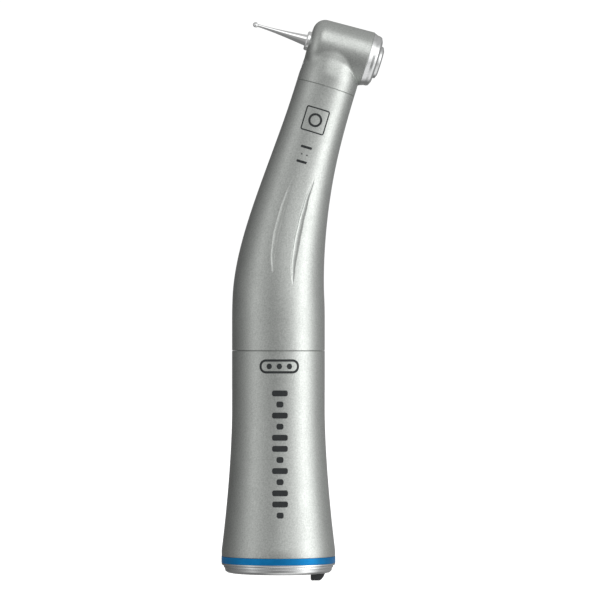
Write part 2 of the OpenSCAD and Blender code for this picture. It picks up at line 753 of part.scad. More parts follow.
head_housing();
head_cap();
push_button();
button_spring();
release_plunger();
chuck_spindle();
latch_collet();
spindle_gear();
chuck_nose_ring();
bur();
cap_seal_ring();
spray_nozzle();
water_tube();
air_tube();
head_wave_washer();
in_head(top_bearing_z) outer_race(top_bearing);  // top_bearing_outer_race
in_head(top_bearing_z) inner_race(top_bearing);  // top_bearing_inner_race
in_head(top_bearing_z) balls(top_bearing);  // top_bearing_balls
in_head(top_bearing_z) cage(top_bearing);  // top_bearing_cage
in_head(lower_bearing_z) outer_race(lower_bearing);  // lower_bearing_outer_race
in_head(lower_bearing_z) inner_race(lower_bearing);  // lower_bearing_inner_race
in_head(lower_bearing_z) balls(lower_bearing);  // lower_bearing_balls
in_head(lower_bearing_z) cage(lower_bearing);  // lower_bearing_cage
neck_shaft();
head_drive_gear();
neck_input_gear();
neck_tube();
neck_seal_ring();
in_neck(neck_front_z) outer_race(neck_front);  // neck_front_outer_race
in_neck(neck_front_z) inner_race(neck_front);  // neck_front_inner_race
in_neck(neck_front_z) balls(neck_front);  // neck_front_balls
in_neck(neck_front_z) cage(neck_front);  // neck_front_cage
in_neck(neck_rear_z) outer_race(neck_rear);  // neck_rear_outer_race
in_neck(neck_rear_z) inner_race(neck_rear);  // neck_rear_inner_race
in_neck(neck_rear_z) balls(neck_rear);  // neck_rear_balls
in_neck(neck_rear_z) cage(neck_rear);  // neck_rear_cage
front_grip_shell();
rear_sleeve();
colour_ring();
end_ring();
coupling_tube();
coupling_lug();
sleeve_seal_ring();
shaft_carrier();
drive_shaft();
drive_output_gear();
shaft_retaining_ring();
in_handle(drive_front_z) outer_race(drive_front);  // drive_front_outer_race
in_handle(drive_front_z) inner_race(drive_front);  // drive_front_inner_race
in_handle(drive_front_z) balls(drive_front);  // drive_front_balls
in_handle(drive_front_z) cage(drive_front);  // drive_front_cage
in_handle(drive_rear_z) outer_race(drive_rear);  // drive_rear_outer_race
in_handle(drive_rear_z) inner_race(drive_rear);  // drive_rear_inner_race
in_handle(drive_rear_z) balls(drive_rear);  // drive_rear_balls
in_handle(drive_rear_z) cage(drive_rear);  // drive_rear_cage
drive_dog();
dog_spring();
dog_clip();
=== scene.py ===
import json
import math

import bmesh
import bpy
import numpy as np
from mathutils import Matrix, Vector

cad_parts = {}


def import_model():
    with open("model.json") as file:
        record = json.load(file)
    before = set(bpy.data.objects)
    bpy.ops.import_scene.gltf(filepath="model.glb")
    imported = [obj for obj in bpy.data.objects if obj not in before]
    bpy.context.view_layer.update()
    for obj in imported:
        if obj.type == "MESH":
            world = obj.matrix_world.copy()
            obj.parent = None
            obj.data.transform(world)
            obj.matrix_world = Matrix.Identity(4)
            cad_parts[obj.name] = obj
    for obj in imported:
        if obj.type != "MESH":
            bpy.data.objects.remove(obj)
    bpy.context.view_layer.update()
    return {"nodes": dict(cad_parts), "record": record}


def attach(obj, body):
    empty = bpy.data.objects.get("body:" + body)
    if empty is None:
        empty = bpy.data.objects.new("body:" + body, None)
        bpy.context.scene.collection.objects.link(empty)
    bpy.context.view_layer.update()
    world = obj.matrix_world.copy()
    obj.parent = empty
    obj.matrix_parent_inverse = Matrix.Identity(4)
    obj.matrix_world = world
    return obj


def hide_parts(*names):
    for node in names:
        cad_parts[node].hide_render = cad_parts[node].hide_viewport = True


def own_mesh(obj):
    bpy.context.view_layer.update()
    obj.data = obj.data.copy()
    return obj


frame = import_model()

# Sizes in millimetres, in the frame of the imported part
MM = 0.001
BEND = math.radians(17.0)
BEND_HEIGHT = 58.7
NECK_LENGTH = 35.9
BEND_BEFORE = 10.0
BEND_AFTER = 20.0
HANDLE_R = 8.25
REAR_R = 10.1
SEAM_Z = 39.5
FLARE_TOP = 29.0
FLARE_LOW = 4.0
RING_LOW = 1.80
RING_HIGH = 2.98
NECK_R = 5.32
NECK_BORE_R = 4.72
NECK_SEAM = 7.1
TAPER_TOP = 87.0
TAPER_LENGTH = 41.5
GRIP_WALL = 0.75
HEAD_LOW = 5.2
HEAD_HIGH = 5.5
HEAD_LOW_R = 4.5
HEAD_HIGH_R = 4.95
HEAD_ROUND = 2.1
CAP_FACE = 7.34
BUTTON_FACE = 8.06
BUR_TIP = -15.7
BUR_TAIL = 6.3
SHANK_R = 1.175
SHANK_FLAT = 0.575
# How far a shell stops short of a seam, and the grip's chamfer there, which makes the seam show
SEAM_GAP = 0.02
SEAM_CHAMFER = 0.07

# A quarter turn, from the axis of the neck to the axis of the head or back
QUARTER = Matrix.Rotation(math.pi / 2, 4, "Y")
NECK = Matrix.Translation((0, 0, BEND_HEIGHT)) @ Matrix.Rotation(BEND, 4, "Y")
HEAD = NECK @ Matrix.Translation((0, 0, NECK_LENGTH)) @ QUARTER
HANDLE = Matrix.Identity(4)
TO_METRES = Matrix.Scale(MM, 4)


# ---- Mesh tools ----

def fillet(points, steps=5):
    """A closed outline of (r, z, radius) corners as (r, z) points, each corner rounded by its radius."""
    out = []
    n = len(points)
    for i, (x, y, rad) in enumerate(points):
        p = Vector((x, y))
        if rad <= 0:
            out.append((x, y))
            continue
        a = Vector(points[i - 1][:2]) - p
        b = Vector(points[(i + 1) % n][:2]) - p
        angle = a.angle(b)
        reach = min(rad / math.tan(angle / 2), 0.49 * a.length, 0.49 * b.length)
        r = reach * math.tan(angle / 2)
        a.normalize()
        b.normalize()
        centre = p + (a + b).normalized() * (r / math.sin(angle / 2))
        start = p + a * reach - centre
        end = p + b * reach - centre
        turn = start.angle_signed(end)
        for k in range(steps + 1):
            v = start.copy()
            v.rotate(Matrix.Rotation(-turn * k / steps, 2))
            out.append(tuple(centre + v))
    return out


def new_object(bm, name):
    """Turns a bmesh into an object, with its faces turned outward."""
    bmesh.ops.recalc_face_normals(bm, faces=bm.faces)
    mesh = bpy.data.meshes.new(name)
    bm.to_mesh(mesh)
    bm.free()
    obj = bpy.data.objects.new(name, mesh)
    bpy.context.scene.collection.objects.link(obj)
    return obj


def finish_piece(obj, place, body, material, sharp=32.0):
    """Moves a mesh made in millimetres to its place, and gives it its shading, its material and its body."""
    mesh = obj.data
    mesh.transform(TO_METRES @ place)
    mesh.shade_smooth()
    mesh.set_sharp_from_angle(angle=math.radians(sharp))
    mesh.materials.clear()
    mesh.materials.append(MATERIALS[material])
    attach(obj, body)
    return obj


def lathe_bm(outline, segments=192, wave=None):
    """Revolves a closed outline of (r, z) about Z. wave(angle, r, z) may change a point's radius."""
    bm = bmesh.new()
    rings = []
    for r, z in outline:
        if r < 1e-6:
            rings.append([bm.verts.new((0, 0, z))])
            continue
        ring = []
        for i in range(segments):
            a = 2 * math.pi * i / segments
            q = wave(a, r, z) if wave else r
            ring.append(bm.verts.new((q * math.cos(a), q * math.sin(a), z)))
        rings.append(ring)
    for j in range(len(rings)):
        low, high = rings[j], rings[(j + 1) % len(rings)]
        if len(low) == 1 and len(high) == 1:
            continue
        for i in range(segments):
            k = (i + 1) % segments
            if len(low) == 1:
                bm.faces.new((low[0], high[k], high[i]))
            elif len(high) == 1:
                bm.faces.new((low[i], low[k], high[0]))
            else:
                bm.faces.new((low[i], low[k], high[k], high[i]))
    return bm


def lathe(name, outline, place, body, material, segments=192, wave=None):
    return finish_piece(new_object(lathe_bm(outline, segments, wave), name), place, body, material)


def loft_bm(rings):
    """A closed band through rings of points, the last joined back to the first."""
    bm = bmesh.new()
    made = [[bm.verts.new(p) for p in ring] for ring in rings]
    n = len(made[0])
    for j in range(len(made)):
        low, high = made[j], made[(j + 1) % len(made)]
        for i in range(n):
            k = (i + 1) % n
            bm.faces.new((low[i], low[k], high[k], high[i]))
    return bm


def combine(base, others, operation):
    """Joins the other solids to the base or cuts them out of it, and removes them."""
    for other in others:
        mod = base.modifiers.new("boolean", "BOOLEAN")
        mod.operation = operation
        mod.solver = "EXACT"
        mod.object = other
    bpy.context.view_layer.update()
    result = bpy.data.meshes.new_from_object(base.evaluated_get(bpy.context.evaluated_depsgraph_get()))
    base.modifiers.clear()
    old = base.data
    base.data = result
    bpy.data.meshes.remove(old)
    for other in others:
        mesh = other.data
        bpy.data.objects.remove(other)
        bpy.data.meshes.remove(mesh)


def smooth(low, high, v):
    """0 up to low, 1 from high on, and a soft step between. Works on numbers and on arrays."""
    u = np.clip((v - low) / (high - low), 0.0, 1.0)
    return u * u * (3 - 2 * u)


# ---- Materials ----

def new_material(name):
    mat = bpy.data.materials.new(name)
    mat.use_nodes = True
    nodes, links = mat.node_tree.nodes, mat.node_tree.links
    shader = nodes["Principled BSDF"]
    coords = nodes.new("ShaderNodeTexCoord")
    return mat, nodes, links, shader, coords


def noise(nodes, links, coords, scale, detail, stretch=None):
    tex = nodes.new("ShaderNodeTexNoise")
    tex.inputs["Scale"].default_value = scale
    tex.inputs["Detail"].default_value = detail
    source = coords.outputs["Object"]
    if stretch:
        mapping = nodes.new("ShaderNodeMapping")
        mapping.inputs["Scale"].default_value = stretch
        links.new(source, mapping.inputs["Vector"])
        source = mapping.outputs["Vector"]
    links.new(source, tex.inputs["Vector"])
    return tex.outputs["Fac"]


def ramp(nodes, links, fac, low, high):
    """Maps the middle of a noise to the range between two colours or two numbers."""
    tex = nodes.new("ShaderNodeValToRGB")
    tex.color_ramp.elements[0].position = 0.3
    tex.color_ramp.elements[1].position = 0.7
    for element, value in zip(tex.color_ramp.elements, (low, high)):
        element.color = (*value, 1) if isinstance(value, tuple) else (value, value, value, 1)
    links.new(fac, tex.inputs["Fac"])
    return tex.outputs["Color"]


def bump(nodes, links, shader, height, strength, distance):
    node = nodes.new("ShaderNodeBump")
    node.inputs["Strength"].default_value = strength
    node.inputs["Distance"].default_value = distance
    links.new(height, node.inputs["Height"])
    links.new(node.outputs["Normal"], shader.inputs["Normal"])


def blasted_metal(name, low, high, rough_low, rough_high):
    """Metal with a fine blasted grain, a little cloudy in its gloss."""
    mat, nodes, links, shader, coords = new_material(name)
    shader.inputs["Metallic"].default_value = 1.0
    cloud = noise(nodes, links, coords, 260.0, 4.0)
    links.new(ramp(nodes, links, cloud, rough_low, rough_high), shader.inputs["Roughness"])
    fine = noise(nodes, links, coords, 4200.0, 2.0)
    links.new(ramp(nodes, links, fine, low, high), shader.inputs["Base Color"])
    bump(nodes, links, shader, fine, 0.27, 0.00004)
    return mat


def turned_metal(name, low, high, rough_low, rough_high, stretch, scale=900.0, strength=0.05):
    """Ground or polished metal: fine marks drawn out across the turning axis."""
    mat, nodes, links, shader, coords = new_material(name)
    shader.inputs["Metallic"].default_value = 1.0
    marks = noise(nodes, links, coords, scale, 4.0, stretch)
    links.new(ramp(nodes, links, marks, low, high), shader.inputs["Base Color"])
    links.new(ramp(nodes, links, marks, rough_low, rough_high), shader.inputs["Roughness"])
    bump(nodes, links, shader, marks, strength, 0.00001)
    return mat


def coated(name, low, high, rough_low, rough_high, coat=0.0, scale=700.0, strength=0.05, metallic=0.0,
           specular=0.5):
    """Paint, resin or rubber: a cloudy colour under a fine grain, with a clear coat if it has one."""
    mat, nodes, links, shader, coords = new_material(name)
    shader.inputs["Metallic"].default_value = metallic
    shader.inputs["Specular IOR Level"].default_value = specular
    shader.inputs["Coat Weight"].default_value = coat
    shader.inputs["Coat Roughness"].default_value = 0.12
    cloud = noise(nodes, links, coords, scale, 4.0)
    links.new(ramp(nodes, links, cloud, low, high), shader.inputs["Base Color"])
    fine = noise(nodes, links, coords, scale * 9, 2.0)
    links.new(ramp(nodes, links, fine, rough_low, rough_high), shader.inputs["Roughness"])
    bump(nodes, links, shader, fine, strength, 0.00001)
    return mat


# Each: its name, the two colours it varies between, the two roughnesses, and how its marks are stretched
MATERIALS = {
    "titanium": blasted_metal("satin_titanium", (0.45, 0.47, 0.45), (0.60, 0.62, 0.60), 0.35, 0.41),
    "steel": turned_metal("ground_steel", (0.62, 0.63, 0.64), (0.74, 0.75, 0.76), 0.20, 0.30, (1, 1, 12)),
    "polished_steel": turned_metal("polished_steel", (0.80, 0.81, 0.81), (0.88, 0.88, 0.88), 0.07, 0.12,
                                   (1, 1, 8), scale=500.0, strength=0.02),
    "cap_steel": turned_metal("satin_polished_steel", (0.66, 0.67, 0.67), (0.74, 0.75, 0.75), 0.15, 0.21,
                              (1, 1, 8), scale=500.0, strength=0.02),
    "spring_steel": turned_metal("spring_steel", (0.42, 0.43, 0.45), (0.56, 0.57, 0.59), 0.25, 0.35,
                                 (1, 1, 5)),
    "gear_steel": turned_metal("gear_steel", (0.52, 0.46, 0.33), (0.64, 0.57, 0.42), 0.26, 0.36, (1, 1, 4)),
    "bearing_steel": turned_metal("bearing_steel", (0.74, 0.75, 0.76), (0.84, 0.85, 0.86), 0.09, 0.16,
                                  (1, 1, 6)),
    "cage": coated("cage_resin", (0.16, 0.07, 0.025), (0.26, 0.13, 0.05), 0.45, 0.6),
    "rubber": coated("seal_rubber", (0.012, 0.012, 0.013), (0.025, 0.025, 0.027), 0.6, 0.75,
                     scale=1200.0, strength=0.2),
    "blue": coated("blue_ring", (0.002, 0.15, 0.38), (0.005, 0.19, 0.46), 0.32, 0.40,
                   scale=500.0, strength=0.03, metallic=0.65, specular=0.25),
    "lug": coated("dark_lug", (0.006, 0.008, 0.009), (0.014, 0.016, 0.018), 0.38, 0.5, coat=0.3),
    "mark": coated("engraving_ink", (0.006, 0.008, 0.009), (0.012, 0.015, 0.016), 0.6, 0.7),
}


# ---- Grip ----

def grip_r(z):
    """Radius of the grip at a height, wide at the handle and narrow at the neck."""
    return NECK_R + (HANDLE_R - NECK_R) * smooth(0, 1, max(0.0, (TAPER_TOP - z) / TAPER_LENGTH) ** 1.2)


def on_neck(along):
    """A place on the axis of the neck, as (x, z, lean)."""
    return (along * math.sin(BEND), BEND_HEIGHT + along * math.cos(BEND), BEND)


def on_bend(t):
    """A place on the curved axis of the bend, from t = 0 on the handle to t = 1 on the neck."""
    x1, z1, _ = on_neck(BEND_AFTER)
    dx = t * BEND_AFTER * math.sin(BEND)
    dz = (1 - t) * BEND_BEFORE + t * BEND_AFTER * math.cos(BEND)
    z = (1 - t) ** 2 * (BEND_HEIGHT - BEND_BEFORE) + 2 * t * (1 - t) * BEND_HEIGHT + t * t * z1
    return (t * t * x1, z, math.atan2(dx, dz))


def interpolate(table, u):
    """A soft curve through the evenly spaced values of a table."""
    u = max(0.0, min(1.0, u)) * (len(table) - 1)
    i = min(int(u), len(table) - 2)
    f = smooth(0, 1, u - i)
    return table[i] * (1 - f) + table[i + 1] * f


# Each flute: its lowest and highest place, its depth, and, from its lower end to its upper one, its angle
# from the side of the grip in degrees
FLUTES = (
    (53.0, 70.4, 0.20, (-11.5, -14.5, -15.3, -14.6, -13.2, -9.5)),
    (51.4, 70.2, 0.30, (15.2, 14.0, 14.8, 16.2, 18.6, 23.5)),
)
# Half the angle that a flute takes up, in degrees
FLUTE_HALF = 4.6


def flute_depth(turn, z):
    """How far the surface is cut in at an angle from the side of the grip."""
    depth = 0.0
    for low, high, deep, angles in FLUTES:
        u = (z - low) / (high - low)
        if 0 < u < 1:
            share = math.sin(math.pi * u) ** 0.6
            s = (turn - interpolate(angles, u)) / (FLUTE_HALF * share + 0.01)
            if abs(s) < 1:
                depth = max(depth, deep * share * (1 - s * s) ** 0.8)
    return depth


def grip_columns():
    """Angles round the grip in degrees, close together over the flutes on both sides."""
    half = []
    a = 0.0
    while a < 180 - 1e-6:
        half.append(a)
        from_side = abs(a - 90)
        a += 0.4 if 5 <= from_side <= 28 else 2.5 if from_side > 30 else 1.0
    return sorted(set(round(v, 4) for v in half + [360 - v for v in half if v > 0] + [180.0]))


COLUMNS = grip_columns()


def ring_points(centre, radii):
    """Points round a centre given as (x, z, lean), one for each of COLUMNS."""
    x, z, lean = centre
    points = []
    for deg, r in zip(COLUMNS, radii):
        t = math.radians(deg)
        forward = r * math.cos(t)
        points.append((x + forward * math.cos(lean), r * math.sin(t), z - forward * math.sin(lean)))
    return points


def round_ring(centre, r):
    return ring_points(centre, [r] * len(COLUMNS))


def outer_ring(centre, radius_change):
    """One ring of the outside of the grip, with the flutes cut in."""
    z = centre[1]
    r = grip_r(z) + radius_change
    return ring_points(centre, [r - flute_depth(90 - deg if deg <= 180 else deg - 270, z) for deg in COLUMNS])


def front_grip():
    last = NECK_LENGTH - NECK_SEAM
    path = [(0.0, SEAM_Z + SEAM_GAP, 0.0), (0.0, SEAM_Z + SEAM_CHAMFER, 0.0)]
    path += [(0.0, SEAM_Z + 0.5 + k * 0.7, 0.0) for k in range(12)]
    path += [on_bend(k / 74) for k in range(75)]
    path += [on_neck(BEND_AFTER + (last - SEAM_CHAMFER - BEND_AFTER) * k / 14) for k in range(1, 15)]
    path += [on_neck(last - SEAM_GAP)]
    rings = [outer_ring(c, -SEAM_CHAMFER if i in (0, len(path) - 1) else 0.0) for i, c in enumerate(path)]
    # the bore at the neck, the hollow down the grip, and the spigot with its seal groove below the seam
    rings += [round_ring(on_neck(last - SEAM_GAP), NECK_BORE_R), round_ring(on_neck(last - 4), NECK_BORE_R)]
    inside = [on_neck(last - 4.01)] + [on_bend(k / 20) for k in range(20, -1, -1)]
    inside += [(0.0, SEAM_Z + 3.5, 0.0)]
    rings += [round_ring(c, grip_r(c[1]) - GRIP_WALL) for c in inside]
    spigot = ((7.3, 3.5), (7.3, 0), (6.75, 0), (6.75, -4), (7.38, -4), (7.38, -2.23), (6.98, -2.23),
              (6.98, -1.77), (7.38, -1.77), (7.38, SEAM_GAP))
    rings += [round_ring((0.0, SEAM_Z + z, 0.0), r) for r, z in spigot]
    obj = finish_piece(new_object(loft_bm(rings), "grip_skin"), HANDLE, "handpiece", "titanium", 40.0)
    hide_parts("front_grip_shell")


# ---- Rear end ----

def sleeve_r(z):
    return HANDLE_R + (REAR_R - HANDLE_R) * max(0.0, (FLARE_TOP - z) / (FLARE_TOP - FLARE_LOW)) ** 1.67


def rear_sleeve():
    steps = 40
    heights = [FLARE_LOW + (FLARE_TOP - FLARE_LOW) * i / steps for i in range(steps + 1)]
    outline = [(9.2, 3.0, 0.03), (REAR_R, 3.0, 0.05)]
    outline += [(sleeve_r(z), z, 0) for z in heights]
    outline += [(HANDLE_R, SEAM_Z - 4, 0), (HANDLE_R, SEAM_Z - 0.1, 0),
                (HANDLE_R - 0.09, SEAM_Z - SEAM_GAP, 0.02), (7.4, SEAM_Z - SEAM_GAP, 0.05),
                (7.4, 22, 0.5), (8.6, 7, 0.3), (9.2, 6.4, 0.1)]
    obj = lathe("rear_sleeve_skin", fillet(outline), HANDLE, "handpiece", "titanium", 256)
    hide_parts("rear_sleeve")


def colour_ring():
    outline = [(9.2, RING_LOW, 0.03), (REAR_R + 0.03, RING_LOW, 0.06), (REAR_R + 0.03, RING_HIGH, 0.06),
               (9.2, RING_HIGH, 0.03)]
    obj = lathe("colour_ring_skin", fillet(outline), HANDLE, "handpiece", "blue", 256)
    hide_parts("colour_ring")


def end_ring():
    """The stepped ring at the end, with the slot that the lug sits in."""
    outline = [(7.05, 0, 0.12), (8.5, 0, 0.3), (9.1, 0.13, 0.3), (9.46, 0.42, 0.2), (9.54, 0.9, 0.05),
               (9.60, 0.95, 0.02), (9.56, 1.0, 0.02), (9.72, 1.04, 0.03), (9.74, 1.32, 0.04),
               (9.70, 1.38, 0.02), (10.02, 1.44, 0.05), (REAR_R, 1.55, 0.05), (REAR_R, 1.78, 0.03),
               (9.19, 1.78, 0), (9.19, 6.2, 0.08), (8.5, 6.2, 0.08), (8.5, 2.2, 0.1), (7.05, 2.2, 0.05)]
    ring = new_object(lathe_bm(fillet(outline), 256), "end_ring_skin")
    slot = bmesh.new()
    slot_place = Matrix.Translation((7.0, 0, 0.3)) @ Matrix.Diagonal((2.62, 2.9, 2.6, 1))
    bmesh.ops.create_cube(slot, size=1.0, matrix=slot_place)
    combine(ring, [new_object(slot, "slot_cutter")], "DIFFERENCE")
    finish_piece(ring, HANDLE, "handpiece", "cap_steel")
    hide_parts("end_ring")


def coupling_lug():
    side = [(5.79, 1.57), (8.27, 1.57), (8.27, 0.0), (7.98, -0.62), (7.62, -1.12), (7.28, -1.34),
            (5.79, -1.34)]
    half_width = 1.39
    bm = bmesh.new()
    loops = [[bm.verts.new((x, y, z)) for x, z in side] for y in (-half_width, half_width)]
    bm.faces.new(loops[0])
    bm.faces.new(list(reversed(loops[1])))
    for i in range(len(side)):
        k = (i + 1) % len(side)
        bm.faces.new((loops[0][i], loops[1][i], loops[1][k], loops[0][k]))
    bmesh.ops.recalc_face_normals(bm, faces=bm.faces)
    bmesh.ops.bevel(bm, geom=list(bm.edges), offset=0.1, segments=3, profile=0.5, affect="EDGES",
                    clamp_overlap=True)
    obj = finish_piece(new_object(bm, "lug_skin"), HANDLE, "handpiece", "lug")
    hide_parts("coupling_lug")


# ---- Head ----

# The neck stub: how far its waist is drawn in beside the barrel, and its belly's radius on the bur side
STUB_WAIST = 0.66
STUB_BELLY_R = 5.19
# Where the head's rough form stops, past the faces that are cut afterwards
ROUGH_TOP = 6.2
ROUGH_END = 7.9
HEAD_HEART = Vector((1.0, 0.0, 0.2))


def barrel_r(t):
    """Radius of the barrel at a height along the bur's axis, towards the button."""
    return HEAD_LOW_R + (HEAD_HIGH_R - HEAD_LOW_R) * (t + HEAD_LOW) / (HEAD_LOW + HEAD_HIGH)


def head_distance(x, y, t):
    """Roughly how far a point is outside the head: the barrel and the neck stub, run softly together.

    x runs down the neck and t along the bur's axis, towards the button.
    """
    side = np.hypot(x, y) - barrel_r(t) + HEAD_ROUND
    foot = HEAD_ROUND - HEAD_LOW - t
    barrel = np.hypot(np.maximum(side, 0), np.maximum(foot, 0)) - HEAD_ROUND
    barrel += np.minimum(np.maximum(side, foot), 0)
    reach = np.hypot(y, t)
    waist = NECK_R - STUB_WAIST * (1 - smooth(0.6, 5.6, x))
    belly = STUB_BELLY_R + (NECK_R - STUB_BELLY_R) * smooth(3.0, 6.5, x)
    toward_foot = np.maximum(-t / np.maximum(reach, 1e-6), 0) ** 2
    stub = np.maximum(reach - (waist + (belly - waist) * toward_foot), -x)
    softness = 0.08 + 0.5 * smooth(1.5, 3.5, np.abs(y)) * smooth(4.2, 1.5, t) * smooth(0.4, 2.0, x)
    near = np.maximum(softness - np.abs(barrel - stub), 0) / softness
    joined = np.minimum(barrel, stub) - near * near * softness / 4
    return np.maximum(np.maximum(joined, t - ROUGH_TOP), x - ROUGH_END)


def head_skin_bm():
    """A fine ball drawn out along its rays until it lies on the head's surface."""
    bm = bmesh.new()
    bmesh.ops.create_icosphere(bm, subdivisions=7, radius=1.0)
    rays = np.array([v.co[:] for v in bm.verts])
    low, high = np.zeros(len(rays)), np.full(len(rays), 14.0)
    for _ in range(26):
        middle = (low + high) / 2
        spot = rays * middle[:, None] + np.array(HEAD_HEART)
        outside = head_distance(spot[:, 0], spot[:, 1], spot[:, 2]) > 0
        high = np.where(outside, middle, high)
        low = np.where(outside, low, middle)
    for v, reach in zip(bm.verts, (low + high) / 2):
        v.co = HEAD_HEART + v.co * float(reach)
    return bm


def turned_solid(name, outline, place=Matrix.Identity(4), segments=192):
    """A solid to cut out of the head or to join to it."""
    bm = lathe_bm(outline, segments)
    bm.transform(place)
    return new_object(bm, name)


def head_housing():
    top, end = HEAD_HIGH, NECK_SEAM
    head = new_object(head_skin_bm(), "head_skin")
    # the flat faces under the cap and at the neck seam, each with a small chamfer round it
    above = [(0, top), (HEAD_HIGH_R - 0.09, top), (HEAD_HIGH_R + 0.03, top - 0.12), (9, top - 0.12), (9, 8),
             (0, 8)]
    beyond = [(0, end), (NECK_R - 0.07, end), (NECK_R + 0.03, end - 0.1), (9, end - 0.1), (9, 9), (0, 9)]
    cutters = [turned_solid("top_cutter", above), turned_solid("end_cutter", beyond, QUARTER)]
    combine(head, cutters, "DIFFERENCE")
    # the spigot that goes into the grip, with its seal groove
    spigot = [(0, 6.0), (4.7, 6.0), (4.7, 8.4), (4.12, 8.4), (4.12, 9.0), (4.7, 9.0), (4.7, 9.9), (4.6, 10.0),
              (0, 10.0)]
    combine(head, [turned_solid("spigot", spigot, QUARTER)], "UNION")
    # the stepped bore for the chuck and its bearings, the bore down the neck, and the spray nozzle's seat
    bore = [(0, 8), (3.9, 8), (3.9, 4.78), (3.5, 4.78), (3.5, 2.85), (3.0, 2.85), (3.0, -4.6), (1.9, -4.6),
            (1.9, -5.1), (2.02, -5.21), (2.02, -6), (0, -6)]
    neck_bore = [(0, 0), (3.175, 0), (3.175, 12), (0, 12)]
    seat = [(0, -6.2), (0.86, -6.2), (0.86, -5.18), (0.8, -5.1), (0.8, -4.1), (0, -4.1)]
    cutters = [turned_solid("bore_cutter", bore), turned_solid("neck_cutter", neck_bore, QUARTER, 128),
               turned_solid("seat_cutter", seat, Matrix.Translation((4.3, 0, 0)), 64)]
    combine(head, cutters, "DIFFERENCE")
    finish_piece(head, HEAD, "handpiece", "titanium")
    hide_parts("head_housing")


def head_cap():
    top, rim_r = HEAD_HIGH, HEAD_HIGH_R
    outline = [(rim_r - 0.08, top + 0.01, 0.02), (rim_r - 0.13, top + 0.16, 0.04), (rim_r - 0.35, 6.24, 0.2),
               (4.56, 6.66, 0.2), (4.42, 7.02, 0.14), (3.7, CAP_FACE, 0.1), (3.2, CAP_FACE, 0.05),
               (3.2, 6.98, 0.03), (3.45, 6.98, 0), (3.45, 5.92, 0), (2.12, 5.92, 0), (2.12, 5.45, 0),
               (3.06, 5.45, 0), (3.06, 4.79, 0), (3.88, 4.79, 0), (3.88, 5.02, 0), (3.58, 5.02, 0),
               (3.58, 5.36, 0), (3.88, 5.36, 0), (3.88, top + 0.01, 0)]
    obj = lathe("head_cap_skin", fillet(outline), HEAD, "handpiece", "cap_steel")
    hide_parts("head_cap")


def push_button():
    crown = [(2.25 * k / 6, BUTTON_FACE - 0.02 * (k / 6) ** 2, 0) for k in range(7)]
    outline = crown + [(2.84, 7.80, 0.12), (2.97, 7.35, 0.1), (2.97, 6.96, 0.02), (3.38, 6.96, 0.05),
                       (3.38, 6.56, 0.05), (2.7, 6.56, 0.05), (2.7, 7.5, 0.1), (0, 7.5, 0)]
    obj = lathe("push_button_skin", fillet(outline, 8), HEAD, "button", "cap_steel")
    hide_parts("push_button")


def nose_ring():
    outline = [(1.43, -5.85, 0.03), (1.58, -5.85, 0.05), (1.73, -5.66, 0.06), (1.73, -4.85, 0.03),
               (1.43, -4.85, 0)]
    obj = lathe("nose_ring_skin", fillet(outline), HEAD, "chuck", "polished_steel", 128)
    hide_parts("chuck_nose_ring")


def bur():
    """The round bur: a ball with blades, a tapered neck, and a shank with a flat and a groove at its tail."""
    tip, tail, flat_low = BUR_TIP, BUR_TAIL, BUR_TAIL - 5.1
    ball_r, ball_high, blades = 0.5, 0.98, 8
    outline = []
    for k in range(21):
        a = math.radians(-90 + 146 * k / 20)
        outline.append((ball_r * math.cos(a), tip + ball_r + ball_r * math.sin(a)))
    neck = [(0.265, 1.0), (0.262, 1.25), (0.275, 1.9), (0.33, 3.0), (0.40, 4.1), (0.50, 5.2), (0.62, 6.5),
            (0.76, 7.8), (0.90, 9.0), (0.99, 9.7), (1.03, 10.02), (1.10, 10.12), (SHANK_R, 10.2),
            (SHANK_R, 12.0)]
    outline += [(r, tip + z) for r, z in neck]
    outline += [(SHANK_R, flat_low - 0.02), (SHANK_R, flat_low + 0.01)]
    outline += [(SHANK_R, tail - 2.45), (0.83, tail - 2.38), (0.8, tail - 2.3), (0.8, tail - 1.6),
                (0.83, tail - 1.52), (SHANK_R, tail - 1.45), (SHANK_R, tail - 0.2), (SHANK_R - 0.2, tail),
                (0.0, tail)]

    def wave(a, r, z):
        if z < tip + ball_high:
            up = (z - tip) / ball_high
            blade = (blades * a / (2 * math.pi) + 0.55 * up) % 1.0
            return r * (1 - 0.17 * math.sin(math.pi * min(1, up * 1.02)) ** 0.5 * (1 - blade) ** 1.5)
        if z > flat_low and r * math.cos(a) > SHANK_FLAT:
            return SHANK_FLAT / math.cos(a)
        return r

    obj = lathe("bur_skin", outline, HEAD, "tool", "polished_steel", 192, wave)
    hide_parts("bur")


# ---- Springs ----

